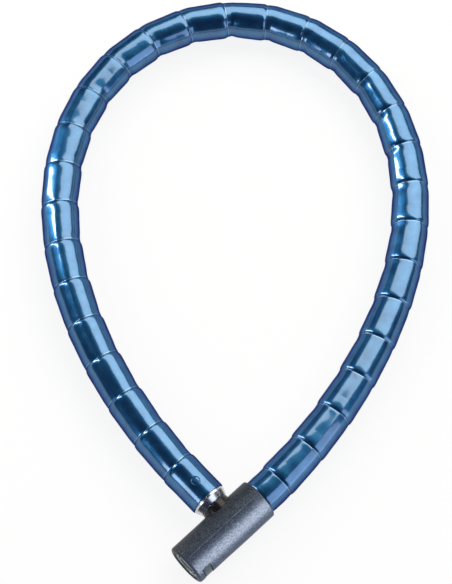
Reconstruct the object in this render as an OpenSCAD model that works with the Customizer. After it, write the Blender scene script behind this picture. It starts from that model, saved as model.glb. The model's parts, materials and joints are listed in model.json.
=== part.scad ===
// Armoured cable lock: steel shells on a wire rope under a blue sleeve, closed by a
// keyed lock head. The loop lies flat, +Z up, long way of the loop along Y.

/* [Loop] */
// Distance from one ball joint to the next
shell_pitch = 25; // [24:0.5:26.5]
// How strongly the bending gathers at the far end of the loop
loop_gather = 3.1; // [2.6:0.1:3.6]

/* [Shells] */
// Outer radius at the mouth of a shell
rim_radius = 10.1; // [9.9:0.1:10.3]
// Radius of the ball nose
ball_radius = 9.25; // [9:0.05:9.4]
// Play between a ball nose and the seat that holds it
seat_gap = 0.25; // [0.2:0.05:0.35]
// Wall of the ball nose and of the shell
shell_wall = 1.9; // [1.6:0.1:2.2]

/* [Rope and sleeve] */
// Radius of the wire rope
rope_radius = 4; // [3.5:0.25:4.25]
// Wall of the blue sleeve
sleeve_wall = 0.65; // [0.5:0.05:0.8]
// Play between the shells and the sleeve
sleeve_gap = 0.3; // [0.3:0.05:0.4]

/* [Lock head] */
// Outer radius of the plastic cover
head_radius = 12.2; // [12.1:0.1:13]
// Length of the plastic cover
head_length = 55; // [54.5:0.5:58]
// Wall of the plastic cover
cover_wall = 1.5; // [1.3:0.1:1.6]
// From the key end of the cover to the middle of the bolt
key_to_bolt = 34.5; // [34.5:0.5:36]
// Radius of the port ring that the bolt goes in through
port_radius = 7.65; // [7.4:0.05:7.8]

/* [Bolt and free end] */
// Radius of the locking bolt
bolt_radius = 4.45; // [4.2:0.05:4.5]
// Radius of the bolt's neck, where the latch bites
neck_radius = 2.75; // [2.5:0.05:2.8]
// How far the bolt's tip passes the head's axis
bolt_reach = 4; // [3.8:0.1:4.5]
// From the head's axis to the last ball joint
free_reach = 47; // [46:0.5:50]
// Radius of the bright ferrule
ferrule_radius = 10.25; // [10:0.05:10.6]
// Radius of the pin across the end tube
cross_pin_radius = 2.3; // [1.8:0.1:2.5]

/* [Lock cylinder] */
// Radius of the turning plug
plug_radius = 5.95; // [5.9:0.05:6.05]
// Width of the key slot
keyway_width = 2; // [1.8:0.1:2.1]
// Height of the key slot
keyway_height = 8.6; // [8:0.1:8.8]
// Turn of the key from open to locked
key_turn = 90; // [80:5:95]
// Travel of the latch for a full turn of the key
latch_travel = 1.8; // [1.6:0.1:1.8]

/* [Hidden] */
$fn = 64;
eps = 0.01;
slip = 0.05;          // sliding and turning fits, on the radius
rest_gap = 0.1;       // parts that are seated but not pressed
shell_count = 29;     // steel shells on the rope, each one a node of its own

// ---------------------------------------------------------------- shell profile
seat_radius = ball_radius + seat_gap;
mouth = 3.8;                                // rim of a mouth, past its ball joint
neck_in = 6.6;                              // rope opening behind the seat
nose_cut = 6.2;                             // end of a ball nose, past its centre
nose_hole = rope_radius + 1.4;
ball_in = ball_radius - shell_wall;
cavity_r = ball_in + 0.25;
function polar(r, a) = [r * sin(a), r * cos(a)];
function shifted(pts, x) = [for (p = pts) [p.x, p.y + x]];
// ball nose: outside from its equator to the cut, then the hole and the inside
nose_arc = [for (a = [90:-7:acos(nose_cut / ball_radius) + 3]) polar(ball_radius, a)];
nose_tip = [polar(ball_radius, acos(nose_cut / ball_radius)), [nose_hole, nose_cut]];
inner_arc = [for (a = [asin(nose_hole / ball_in):7:87]) polar(ball_in, a)];
nose_pts = concat(nose_arc, nose_tip, inner_arc, [[ball_in, 0]]);
// mouth: seat from the rope opening out to the rim
seat_low = asin(neck_in / seat_radius);
seat_high = acos(mouth / seat_radius);
seat_pts = concat([for (a = [seat_low:5:seat_high - 1]) polar(seat_radius, a)],
                  [polar(seat_radius, seat_high)]);
seat_end = seat_pts[0].y;
rim_pts = [[rim_radius - 0.3, mouth], [rim_radius, mouth + 0.35], [rim_radius, mouth + 3]];
shell_profile = concat(
    seat_pts, rim_pts,
    [[ball_radius + 0.15, shell_pitch - 4]],
    shifted(nose_pts, shell_pitch),
    [[cavity_r, shell_pitch - 2], [cavity_r, seat_end + 2.6], [neck_in, seat_end + 1.4]]);

// ---------------------------------------------------------------- lock head stations
// along the head's axis, 0 where the bolt crosses it, + towards the rope
key_end = -key_to_bolt;
rope_end = head_length - key_to_bolt;
barrel_radius = head_radius - cover_wall - rest_gap;
face = key_end + 2.9;                        // front of the barrel
plug_face = face - 0.5;
lip = 2.1;                                   // depth of the cover's rim at the key end
grip_r = head_radius - 0.2;                  // seat for a bracket's clamp, from the key end
grip_end = -ferrule_radius - 0.75;           // to a fine shoulder beside the bolt
end_wall = 1.4;
barrel_end = rope_end - end_wall - rest_gap;
housing_r = plug_radius + slip + 2;
cylinder_bore = housing_r + slip;
housing_end = face + 15.4;
clip_x = housing_end + rest_gap;
clip_t = 0.6;
plug_end = clip_x + clip_t + 0.6;
cam_face = plug_end + 1;
ramp_low = 0.25;
foot_half = 6;                               // half width of a latch foot, degrees
ramp_slope = latch_travel / key_turn;
foot_gap = 0.05;
foot_back = cam_face + ramp_low + foot_half * ramp_slope + foot_gap;
ramp_top = cam_face + ramp_low + latch_travel + (foot_half + 1) * ramp_slope;
bore_end = ramp_top + 0.15;
plate_back = bore_end + 0.05;
plate_t = 1.4;
cam_r = cylinder_bore - 0.8;
foot_in = 4.7;
plate_r = cylinder_bore - 0.6;                // latch plate
plate_half = 5.5;                             // half height between its flats
bolt_hole_r = bolt_radius + 0.1;
latch_tip = -bolt_radius - 0.2;
spring_seat = -bolt_hole_r - 1.25;
plate_front = plate_back + plate_t;
pocket_end = plate_front + latch_travel + 0.1;
latch_w = 2.8;
latch_h = 5;
spring_r = norm([latch_w, latch_h]) / 2 + 0.75;
neck_half = latch_w / 2 + 0.2;
port_in = 8.2;                               // inner end of the port ring
port_out = head_radius + 1.6;
socket_back = 7.6;
socket_len = 5.6;
rope_start = socket_back + 0.95;
shank_back = socket_back + socket_len + 0.2;
shank_r = cylinder_bore - slip;
body_r = ball_radius + 0.15;                 // plain part of the entry nose
first_reach = rope_end + 10;                 // head's bolt to the first ball joint
tube_radius = rim_radius - 0.2;
ferrule_front = head_radius + 1.9;
ferrule_back = ferrule_front + 4.4;
sleeve_stop = ferrule_back + 0.4;
bolt_shank_r = bolt_radius + 1.45;
spigot_r = tube_radius - 1.35;                // ferrule's spigot inside the end tube
ferrule_nose_r = port_radius - 0.05;
bolt_head_r = bolt_shank_r + 1.1;
bolt_head_back = ferrule_back + 5.7;
crimp_r = neck_in - 0.3;
crimp_front = bolt_head_back + 0.8;
pin_y = sleeve_stop + 10;
rope_stop = pin_y + cross_pin_radius + 0.4;
crimp_back = free_reach - nose_cut - 2.4;

// ---------------------------------------------------------------- route of the loop
head_angle = 45;                              // way the rope leaves the head
turn = 270;                                   // from there to the bolt
joint_count = shell_count + 1;
function way(a) = [cos(a), sin(a)];
function share(i) = (i + 0.5) / joint_count;
function gather(i) = pow(sin(180 * share(i)), loop_gather);
gather_sum = [for (i = [0:joint_count - 1]) gather(i)] * [for (i = [0:joint_count - 1]) 1];
// bend at each joint: an even part, a part gathered at the far end, a lean to one side
function bend(i, amp, lean) =
    (turn - amp * gather_sum) / joint_count + amp * gather(i) + lean * sin(360 * share(i));
function heading_list(amp, lean, i = 0, h = head_angle) =
    i >= joint_count ? [] :
    let (g = h + bend(i, amp, lean)) concat([g], heading_list(amp, lean, i + 1, g));
function walk(h, p, i = 0) =
    i >= joint_count ? [] : concat([p], walk(h, p + shell_pitch * way(h[i]), i + 1));
first_joint = first_reach * way(head_angle);
last_joint = free_reach * way(head_angle + 90);
function miss(amp, lean) =
    walk(heading_list(amp, lean), first_joint)[joint_count - 1] - last_joint;
// Newton steps, so that the last joint comes to the bolt whatever the sizes are
function closed(v, n = 8) =
    n == 0 ? v :
    let (d = 0.01, e = miss(v.x, v.y),
         ea = (miss(v.x + d, v.y) - e) / d,
         eb = (miss(v.x, v.y + d) - e) / d,
         det = ea.x * eb.y - ea.y * eb.x)
    closed(v - [e.x * eb.y - e.y * eb.x, ea.x * e.y - ea.y * e.x] / det, n - 1);
bend_mix = closed([11, -0.2]);
heading = heading_list(bend_mix.x, bend_mix.y);
plain_route = walk(heading, first_joint);

// the loop and the head are centred on the origin, resting on z = 0
sleeve_out = rim_radius + sleeve_gap + sleeve_wall + 0.1;
head_corners = [for (s = [key_end, rope_end], t = [-1, 1])
    s * way(head_angle) + t * head_radius * way(head_angle + 90)];
spread_x = concat([for (p = plain_route) p.x - sleeve_out], [for (p = plain_route) p.x + sleeve_out],
                  [for (p = head_corners) p.x]);
spread_y = concat([for (p = plain_route) p.y - sleeve_out], [for (p = plain_route) p.y + sleeve_out],
                  [for (p = head_corners) p.y]);
crossing = -[min(spread_x) + max(spread_x), min(spread_y) + max(spread_y)] / 2;
axis_z = head_radius;
route = [for (p = plain_route) p + crossing];

// ---------------------------------------------------------------- placing
module at_head() translate([crossing.x, crossing.y, axis_z]) rotate([0, 0, head_angle]) children();
module along_x(x = 0) translate([x, 0, 0]) rotate([0, 90, 0]) children();
module along_y(y = 0) translate([0, y, 0]) rotate([-90, 0, 0]) children();
module rod_x(r, x1, x2) along_x(x1) cylinder(r = r, h = x2 - x1);
module rod_y(r, y1, y2) along_y(y1) cylinder(r = r, h = y2 - y1);
module pipe_x(ro, ri, x1, x2) difference() {
    rod_x(ro, x1, x2);
    rod_x(ri, x1 - 1, x2 + 1);
}
// a block from x1 to x2, with half sizes y and z
module block_x(x1, x2, y, z) translate([x1, -y, -z]) cube([x2 - x1, 2 * y, 2 * z]);

// ---------------------------------------------------------------- swept forms
// a coil spring along z, from 0 to len
module coil(r, wire, turns, len, steps = 14, sides = 6) {
    n = round(steps * turns);
    rise = len - 2 * wire;
    pts = [for (i = [0:n], j = [0:sides - 1])
        let (a = 360 * turns * i / n, b = 360 * j / sides)
        [(r + wire * cos(b)) * cos(a), (r + wire * cos(b)) * sin(a),
         wire + rise * i / n + wire * sin(b)]];
    skin = [for (i = [0:n - 1], j = [0:sides - 1])
        let (k = (j + 1) % sides)
        [i * sides + j, i * sides + k, (i + 1) * sides + k, (i + 1) * sides + j]];
    split = [for (f = skin) for (t = [[f[0], f[1], f[2]], [f[0], f[2], f[3]]]) t];
    caps = [[for (j = [sides - 1:-1:0]) j], [for (j = [0:sides - 1]) n * sides + j]];
    polyhedron(points = pts, faces = concat(split, caps), convexity = 6);
}
// rings are [centre, heading, radius]; each gives a circle of points square to the route
function ring_points(c, h, r, sides) = [for (j = [0:sides - 1])
    let (a = 360 * j / sides)
    [c.x + r * cos(a) * cos(h + 90), c.y + r * cos(a) * sin(h + 90), axis_z + r * sin(a)]];
function skin_faces(count, sides, base, flip) = [for (i = [0:count - 2], j = [0:sides - 1])
    let (k = (j + 1) % sides, a = base + i * sides + j, b = base + i * sides + k,
         c = a + sides, d = b + sides)
    for (t = flip ? [[a, b, d], [a, d, c]] : [[a, d, b], [a, c, d]]) t];

// ---------------------------------------------------------------- rope
// the rope bends just past each ball centre, inside the nose hole
bend_at = 3.5;
ease = 2.6;
function before(i) = i == 0 ? head_angle : heading[i - 1];
rope_rings = concat(
    [[crossing + rope_start * way(head_angle), head_angle]],
    [for (i = [0:joint_count - 1], s = [-1, 1])
        let (h = s < 0 ? before(i) : heading[i],
             on_tube = s > 0 && i == joint_count - 1,
             c = on_tube ? route[i] + (bend_at + ease) * way(h)
                         : route[i] + bend_at * way(before(i)) + s * ease * way(h))
        [c, (before(i) + heading[i]) / 2 + s * (heading[i] - before(i)) / 4]],
    [[crossing + rope_stop * way(head_angle + 90), head_angle + turn]]);
module wire_rope() color([0.6, 0.62, 0.65]) {
    sides = 12;
    n = len(rope_rings);
    polyhedron(
        points = [for (g = rope_rings) each ring_points(g[0], g[1], rope_radius, sides)],
        faces = concat(skin_faces(n, sides, 0, false),
            [[for (j = [0:sides - 1]) j], [for (j = [sides - 1:-1:0]) (n - 1) * sides + j]]),
        convexity = 8);
}

// ---------------------------------------------------------------- sleeve
sleeve_sides = 18;
flat = 1 / cos(180 / sleeve_sides);           // corners stand out past the flats
function sleeve_in(r) = (r + sleeve_gap) * flat;
end_h = head_angle + turn;
sleeve_start = rope_end + 0.4;
sleeve_rings = concat(
    [[crossing + sleeve_start * way(head_angle), head_angle, sleeve_in(body_r)]],
    [for (i = [0:joint_count - 1]) for (g = [
        [route[i] - 4 * way(before(i)), before(i), sleeve_in(body_r + 0.05)],
        [route[i] + 1.2 * way(heading[i]), heading[i], sleeve_in(ball_radius + 0.1)],
        [route[i] + (mouth + 0.2) * way(heading[i]), heading[i], sleeve_in(rim_radius)],
        [route[i] + 9 * way(heading[i]), heading[i], sleeve_in(rim_radius - 0.05)]]) g],
    [[crossing + sleeve_stop * way(head_angle + 90), end_h, sleeve_in(tube_radius)]]);
module pvc_sleeve() color([0.1, 0.3, 0.62, 0.6]) {
    n = len(sleeve_rings);
    sides = sleeve_sides;
    m = n * sides;
    polyhedron(
        points = concat(
            [for (g = sleeve_rings) each ring_points(g[0], g[1], g[2] + sleeve_wall, sides)],
            [for (g = sleeve_rings) each ring_points(g[0], g[1], g[2], sides)]),
        faces = concat(
            skin_faces(n, sides, 0, false), skin_faces(n, sides, m, true),
            [for (j = [0:sides - 1]) let (k = (j + 1) % sides)
                for (t = [[j, m + k, m + j], [j, k, m + k]]) t],
            [for (j = [0:sides - 1]) let (k = (j + 1) % sides, q = m - sides)
                for (t = [[q + j, q + m + k, q + k], [q + j, q + m + j, q + m + k]]) t]),
        convexity = 10);
}

// ---------------------------------------------------------------- shells
module shell(n) color([0.62, 0.64, 0.67])
    translate([route[n - 1].x, route[n - 1].y, axis_z]) rotate([0, 0, heading[n - 1]])
        along_x() rotate_extrude() polygon(shell_profile);

// ---------------------------------------------------------------- head: outside
module edge_arc_profile() {
    e = 0.9;
    arc = [for (a = [0:22.5:90]) [e * cos(a), e * sin(a)]];
    polygon(concat(
        [[barrel_radius - 0.5, key_end + lip], [barrel_radius - 0.5, key_end + 0.3],
         [barrel_radius - 0.2, key_end]],
        [for (i = [4:-1:0]) [grip_r - e + arc[i].x, key_end + e - arc[i].y]],
        [[grip_r, grip_end], [head_radius, grip_end + 0.2]],
        [for (i = [0:4]) [head_radius - e + arc[i].x, rope_end - e + arc[i].y]],
        [[body_r + 0.15, rope_end], [body_r + 0.15, rope_end - end_wall],
         [head_radius - cover_wall, rope_end - end_wall], [head_radius - cover_wall, key_end + lip]]));
}
catch_x = key_end + 6.75;
catch_len = 5.5;
module catch_sector(grow, r1, r2) along_x() rotate([0, 0, 230 - grow * 4])
    rotate_extrude(angle = 80 + grow * 8)
        translate([r1, catch_x - catch_len / 2 - grow]) square([r2 - r1, catch_len + 2 * grow]);
module head_cover() color([0.07, 0.07, 0.08]) at_head() difference() {
    along_x() rotate_extrude() edge_arc_profile();
    rod_y(port_radius + rest_gap, 2, port_out + 2);
    catch_sector(0.15, barrel_radius - 1, head_radius + 2);
}
module cover_catch() color([0.36, 0.38, 0.46]) at_head() union() {
    catch_sector(0, barrel_radius + rest_gap, grip_r - 0.3);
    translate([catch_x, 0, 0]) rod_y(1.5, -barrel_radius - 0.6, -barrel_radius + 1.4);
}
module key_face_ring() color([0.62, 0.64, 0.6]) at_head()
    pipe_x(barrel_radius - 0.05, plug_radius + 0.3, key_end + lip + slip, face - slip);
module port_ring() color([0.04, 0.04, 0.045]) at_head() along_y() rotate_extrude() polygon([
    [bolt_radius + 0.35, port_in], [port_radius, port_in], [port_radius, port_out - 0.5],
    [port_radius - 0.5, port_out], [bolt_radius + 1.95, port_out], [bolt_radius + 1.95, port_out - 1.8],
    [bolt_radius + 0.35, port_out - 1.8]]);

// ---------------------------------------------------------------- head: barrel
pin_x = face + 2;
socket_pin = [socket_back + socket_len / 2, shank_r - 1.75];
module lock_barrel() color([0.55, 0.56, 0.58]) at_head() difference() {
    rod_x(barrel_radius, face, barrel_end);
    rod_x(cylinder_bore, face - 1, bore_end);
    intersection() {
        rod_x(plate_r + 0.1, bore_end - 1, pocket_end);
        block_x(bore_end - 2, pocket_end + 1, 9, plate_half + 0.1);
    }
    rod_x(spring_r + 0.65, pocket_end - 1, spring_seat);
    block_x(spring_seat - 1, -1, latch_w / 2 + slip, latch_h / 2 + slip);
    rod_y(bolt_hole_r, -bolt_reach - 0.4, barrel_radius + 2);
    rod_y(port_radius + rest_gap, port_in - rest_gap, barrel_radius + 2);
    rod_x(cylinder_bore, socket_back - rest_gap, barrel_end + 1);
    translate([socket_pin.x, socket_pin.y, -barrel_radius]) cylinder(r = lock_pin_r + slip, h = 2 * barrel_radius);
    translate([pin_x, 0, -barrel_radius - 1]) cylinder(r = 1.02, h = barrel_radius);
    translate([catch_x, 0, 0]) rod_y(1.55, -barrel_radius - 1, -barrel_radius + 1.5);
}
module rope_socket() color([0.6, 0.58, 0.5]) at_head() difference() {
    union() {
        rod_x(shank_r, socket_back, socket_back + socket_len);
        rod_x(crimp_r - 0.1, socket_back + socket_len - eps, barrel_end - 0.6);
    }
    rod_x(rope_radius + rest_gap, rope_start - rest_gap, barrel_end + 1);
    translate([socket_pin.x, socket_pin.y, -housing_r - 1]) cylinder(r = lock_pin_r + slip, h = 2 * housing_r + 2);
}
lock_pin_r = 1.25;
lock_pin_half = sqrt(pow(barrel_radius, 2) - pow(socket_pin.y + lock_pin_r, 2)) - 0.15;
module rope_lock_pin() color([0.7, 0.7, 0.72]) at_head()
    translate([socket_pin.x, socket_pin.y, -lock_pin_half]) cylinder(r = lock_pin_r, h = 2 * lock_pin_half);
module entry_nose() color([0.62, 0.64, 0.67]) at_head() along_x() rotate_extrude() polygon(concat(
    [[crimp_r + 0.1, shank_back], [shank_r, shank_back], [shank_r, barrel_end + slip],
     [body_r, barrel_end + slip], [body_r, first_reach - 4]],
    shifted(nose_pts, first_reach),
    [[ball_in, barrel_end + 1.8], [crimp_r + 0.1, barrel_end + 0.6]]));

// ---------------------------------------------------------------- head: lock cylinder
wafer_count = 4;
wafer_pitch = 2.3;
wafer_t = 0.7;
wafer_first = plug_face + 5.7;
wafer_lift = 0.8;                              // travel of a wafer when the key is drawn
wafer_y = 5.3;
wafer_z = 2.3;
channel = 7;
function wafer_x(i) = wafer_first + (i - 1) * wafer_pitch;
module cylinder_housing() color([0.72, 0.6, 0.34]) at_head() difference() {
    rod_x(housing_r, face, housing_end);
    rod_x(plug_radius + slip, face - 1, housing_end + 1);
    block_x(wafer_x(1) - 0.8, wafer_x(wafer_count) + 0.8, channel, wafer_z + 0.2);
    block_x(wafer_x(1) - 0.8, wafer_x(wafer_count) + 0.8, wafer_z + 0.2, channel);
    translate([pin_x, 0, -housing_r - 1]) cylinder(r = 1.02, h = 2.1);
}
module housing_pin() color([0.7, 0.7, 0.72]) at_head()
    translate([pin_x, 0, -barrel_radius + 0.2]) cylinder(r = 1, h = barrel_radius - housing_r + 0.8);
shutter_x = plug_face + 1.2;                    // hinge of the dust shutter
shutter_z = 1.85;
shutter_t = 0.5;
shutter_low = -1.2;
shutter_y = keyway_height / 2 + 0.05;
module key_plug() color([0.74, 0.66, 0.42]) at_head() difference() {
    union() {
        rod_x(plug_radius, plug_face, plug_end);
        block_x(plug_end - 1, plug_end + 1.4, 2.5, 2.5);
    }
    block_x(plug_face - 1, housing_end - 0.4, keyway_height / 2, keyway_width / 2);
    translate([shutter_x - 0.55, -shutter_y - 0.15, shutter_low - 0.1])
        cube([3.85, 2 * shutter_y + 0.3, shutter_z + 0.9 - shutter_low + 0.1]);
    for (i = [1:wafer_count]) translate([wafer_x(i), 0, 0]) rotate([180 * (i % 2), 0, 0]) {
        block_x(-wafer_t / 2 - slip, wafer_t / 2 + slip, plug_radius + 1, wafer_z + 0.1);
        translate([-0.7, -4.3, wafer_z]) cube([1.4, 5.3, 1.4]);
    }
    pipe_x(plug_radius + 1, plug_radius - 1.05, clip_x - slip, clip_x + clip_t + slip);
}
module plug_clip() color([0.5, 0.52, 0.56]) at_head() along_x(clip_x) rotate([0, 0, 30])
    rotate_extrude(angle = 300) translate([plug_radius - 1, 0]) square([2.25, clip_t]);
// one helical ramp of the cam: highest at its start, for the foot at angle foot_at
module ramp(foot_at) {
    n = 16;
    a0 = foot_at - key_turn - foot_half - 1;
    a1 = foot_at + foot_half + 1;
    ri = foot_in - 0.3;
    ro = cam_r - 0.3;
    function high(a) = ramp_low + ramp_slope * (foot_at - a);
    pts = [for (i = [0:n]) let (a = a0 + (a1 - a0) * i / n)
        for (q = [[ri, -0.5], [ro, -0.5], [ro, high(a)], [ri, high(a)]])
            [q[0] * cos(a), q[0] * sin(a), q[1]]];
    skin = [for (i = [0:n - 1], j = [0:3]) let (k = (j + 1) % 4)
        for (t = [[4 * i + j, 4 * i + k, 4 * i + 4 + k], [4 * i + j, 4 * i + 4 + k, 4 * i + 4 + j]]) t];
    polyhedron(points = pts, faces = concat(skin, [[3, 2, 1, 0]],
        [[4 * n, 4 * n + 1, 4 * n + 2, 4 * n + 3]]), convexity = 4);
}
module plug_cam() color([0.55, 0.55, 0.6]) at_head() difference() {
    union() {
        rod_x(cam_r, plug_end + rest_gap, cam_face);
        along_x(cam_face) { ramp(90); ramp(270); }
    }
    block_x(plug_end - 1, cam_face + 3, 2.5 + slip, 2.5 + slip);
}
module wafer(i) color([0.8, 0.7, 0.4]) at_head()
    translate([wafer_x(i), 0, 0]) rotate([180 * (i % 2), 0, 0]) difference() {
        union() {
            block_x(-wafer_t / 2, wafer_t / 2, wafer_y, wafer_z);
            translate([-wafer_t / 2, -0.9, wafer_z - eps]) cube([wafer_t, 0.8, 1.1]);
        }
        block_x(-1, 1, 3.7, keyway_width / 2 + 0.2);
    }
module wafer_springs() color([0.75, 0.75, 0.78]) at_head()
    for (i = [1:wafer_count]) translate([wafer_x(i), 0, 0]) rotate([180 * (i % 2), 0, 0])
        translate([0, 0, wafer_z + 0.75]) along_y(-4.25)
            coil(0.42, 0.09, 4, 3.25, steps = 9, sides = 4);
module dust_shutter() color([0.16, 0.16, 0.17]) at_head() difference() {
    union() {
        translate([shutter_x - 0.45, -shutter_y, shutter_low])
            cube([shutter_t, 2 * shutter_y, shutter_z - shutter_low]);
        translate([shutter_x, 0, shutter_z]) rod_y(0.45, -shutter_y, shutter_y);
    }
    difference() {
        translate([shutter_x - 1, -1.5, shutter_z - 1]) cube([2, 3, 2.2]);
        translate([shutter_x, 0, shutter_z]) rod_y(0.3, -2, 2);
    }
}
module shutter_spring() color([0.75, 0.75, 0.78]) at_head()
    translate([shutter_x, 0, shutter_z]) along_y(-1.3) coil(0.42, 0.08, 4, 2.6, steps = 12, sides = 4);

// ---------------------------------------------------------------- head: latch
module latch_slider() color([0.5, 0.52, 0.55]) at_head() difference() {
    union() {
        intersection() {
            rod_x(plate_r, plate_back, plate_front);
            block_x(plate_back - 1, plate_front + 1, 9, plate_half);
        }
        block_x(plate_front - 0.5, latch_tip, latch_w / 2, latch_h / 2);
        for (s = [-1, 1]) intersection() {
            pipe_x(cam_r - 0.45, foot_in, foot_back, plate_back + 0.5);
            translate([foot_back - 1, s > 0 ? 0 : -9, -0.48]) cube([8, 9, 0.96]);
        }
    }
    // the tip is bevelled where it meets the bolt
    for (s = [-1, 1]) translate([latch_tip, s * latch_w / 2, 0]) rotate([0, 0, 45])
        cube([0.5, 0.5, latch_h + 1], center = true);
}
module latch_spring() color([0.75, 0.75, 0.78]) at_head() along_x(plate_front + slip)
    coil(spring_r, 0.25, 3, spring_seat - plate_front - 2 * slip, steps = 20, sides = 6);

// ---------------------------------------------------------------- free end
function across(y) = free_reach - y;           // from the last ball joint
module end_tube() color([0.62, 0.64, 0.67]) at_head() difference() {
    along_y() rotate_extrude() polygon(concat(
        [for (p = concat(seat_pts, rim_pts)) [p.x, free_reach - p.y]],
        [[tube_radius, free_reach - mouth - 6], [tube_radius, ferrule_back + slip],
         [spigot_r + slip, ferrule_back + slip], [spigot_r + slip, bolt_head_back + slip],
         [crimp_r + slip, bolt_head_back + slip], [crimp_r + slip, free_reach - seat_end - 1.4],
         [neck_in, free_reach - seat_end - 1.2]]));
    translate([0, pin_y, -rim_radius - 1]) cylinder(r = cross_pin_radius + slip, h = 2 * rim_radius + 2);
}
module end_ferrule() color([0.86, 0.87, 0.88]) at_head() along_y() rotate_extrude() polygon([
    [bolt_shank_r + slip, ferrule_front + 0.05], [ferrule_nose_r - 0.3, ferrule_front + 0.05],
    [ferrule_nose_r, ferrule_front + 0.3], [ferrule_radius - 0.1, ferrule_back - 1.4],
    [ferrule_radius, ferrule_back - 1.2], [ferrule_radius, ferrule_back],
    [spigot_r, ferrule_back], [spigot_r, ferrule_back + 3.6], [bolt_shank_r + slip, ferrule_back + 3.6]]);
module locking_bolt() color([0.8, 0.81, 0.83]) at_head() along_y() rotate_extrude() polygon([
    [0, -bolt_reach], [bolt_radius - 0.85, -bolt_reach], [bolt_radius, -bolt_reach + 0.8],
    [bolt_radius, -neck_half], [neck_radius, -neck_half], [neck_radius, neck_half],
    [bolt_radius, neck_half], [bolt_radius, ferrule_front + 0.3],
    [bolt_shank_r, ferrule_front + 0.3], [bolt_shank_r, ferrule_back + 3.7],
    [bolt_head_r, ferrule_back + 3.7], [bolt_head_r, bolt_head_back], [0, bolt_head_back]]);
module bolt_seal_ring() color([0.03, 0.03, 0.03]) at_head()
    along_y(port_out - 0.85) rotate_extrude() translate([bolt_radius + 0.9, 0]) circle(r = 0.85);
module end_cross_pin() color([0.7, 0.71, 0.73]) at_head()
    translate([0, pin_y, 0.4 - tube_radius]) cylinder(r = cross_pin_radius, h = 2 * (tube_radius - 0.4));
module end_rope_crimp() color([0.6, 0.58, 0.5]) at_head() difference() {
    rod_y(crimp_r, crimp_front, crimp_back);
    rod_y(rope_radius + rest_gap, rope_stop - rest_gap, crimp_back + 1);
    translate([0, pin_y, -crimp_r - 1]) cylinder(r = cross_pin_radius + slip, h = 2 * crimp_r + 2);
}

// ---------------------------------------------------------------- all pieces
wire_rope();
pvc_sleeve();
shell(1);  // shell_01
shell(2);  // shell_02
shell(3);  // shell_03
shell(4);  // shell_04
shell(5);  // shell_05
shell(6);  // shell_06
shell(7);  // shell_07
shell(8);  // shell_08
shell(9);  // shell_09
shell(10);  // shell_10
shell(11);  // shell_11
shell(12);  // shell_12
shell(13);  // shell_13
shell(14);  // shell_14
shell(15);  // shell_15
shell(16);  // shell_16
shell(17);  // shell_17
shell(18);  // shell_18
shell(19);  // shell_19
shell(20);  // shell_20
shell(21);  // shell_21
shell(22);  // shell_22
shell(23);  // shell_23
shell(24);  // shell_24
shell(25);  // shell_25
shell(26);  // shell_26
shell(27);  // shell_27
shell(28);  // shell_28
shell(29);  // shell_29
head_cover();
cover_catch();
lock_barrel();
cylinder_housing();
housing_pin();
key_face_ring();
port_ring();
rope_socket();
rope_lock_pin();
entry_nose();
key_plug();
plug_clip();
plug_cam();
wafer_springs();
wafer(1);  // wafer_1
wafer(2);  // wafer_2
wafer(3);  // wafer_3
wafer(4);  // wafer_4
dust_shutter();
shutter_spring();
latch_slider();
latch_spring();
end_tube();
end_ferrule();
locking_bolt();
bolt_seal_ring();
end_cross_pin();
end_rope_crimp();
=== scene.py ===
# %% [markdown]
# # An armoured cable lock
# A wire rope runs through a string of steel shells, nose into mouth like a spine. A glossy blue
# sleeve is drawn over them, and the two ends meet in a black lock head with a key cylinder.
# The solids of the lock come from CAD and say where everything is. This file dresses them: it
# replaces what is seen with finer pieces and gives every other solid its own finish.

# %% Load the solids
import json
import math

import bpy
from mathutils import Matrix, Vector

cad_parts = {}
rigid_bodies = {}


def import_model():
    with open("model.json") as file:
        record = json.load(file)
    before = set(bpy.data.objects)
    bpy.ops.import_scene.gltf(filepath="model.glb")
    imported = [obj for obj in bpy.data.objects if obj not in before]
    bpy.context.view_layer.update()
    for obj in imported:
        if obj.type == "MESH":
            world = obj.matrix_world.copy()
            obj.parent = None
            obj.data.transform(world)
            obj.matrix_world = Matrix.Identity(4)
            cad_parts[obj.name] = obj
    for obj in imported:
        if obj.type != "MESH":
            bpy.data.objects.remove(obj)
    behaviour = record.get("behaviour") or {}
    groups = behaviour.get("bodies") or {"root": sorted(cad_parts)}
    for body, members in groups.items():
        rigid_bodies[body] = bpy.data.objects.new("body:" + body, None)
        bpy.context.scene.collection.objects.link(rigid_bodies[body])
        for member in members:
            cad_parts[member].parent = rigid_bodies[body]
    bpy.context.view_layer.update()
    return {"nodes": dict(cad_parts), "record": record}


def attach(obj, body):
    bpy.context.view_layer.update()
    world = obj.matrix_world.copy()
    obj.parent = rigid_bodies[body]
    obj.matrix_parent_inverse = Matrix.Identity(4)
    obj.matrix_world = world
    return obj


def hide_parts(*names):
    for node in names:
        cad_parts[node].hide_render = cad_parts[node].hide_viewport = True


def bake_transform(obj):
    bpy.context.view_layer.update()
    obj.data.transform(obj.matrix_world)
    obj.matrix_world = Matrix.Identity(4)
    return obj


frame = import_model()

# %% [markdown]
# Everything is in metres. The lock head is easiest to think of in its own axes: its length is x,
# with the key end on the minus side, and the bolt comes in along +y. So the head's pieces are
# modelled around the origin in those axes, then turned by 45 degrees and moved to where the
# bolt and the head cross. A finished piece keeps its place in its mesh, as a CAD solid does.

# %% Head axes
MM = 0.001
NEAR, WELD = 0.01 * MM, 0.001 * MM
CROSSING = Vector((3.10219, -146.093, 12.2)) * MM
HEAD_TURN = 45
TO_LOCK = Matrix.Translation(CROSSING) @ Matrix.Rotation(math.radians(HEAD_TURN), 4, "Z")
print("head crosses the bolt at", [round(v, 4) for v in CROSSING])

# %% [markdown]
# Pieces are modelled as by hand: a primitive is added, some of it is selected, and an operator
# shapes it in edit mode. In code the vertices are selected by their place. These helpers do
# the steps that come back for every piece.

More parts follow.
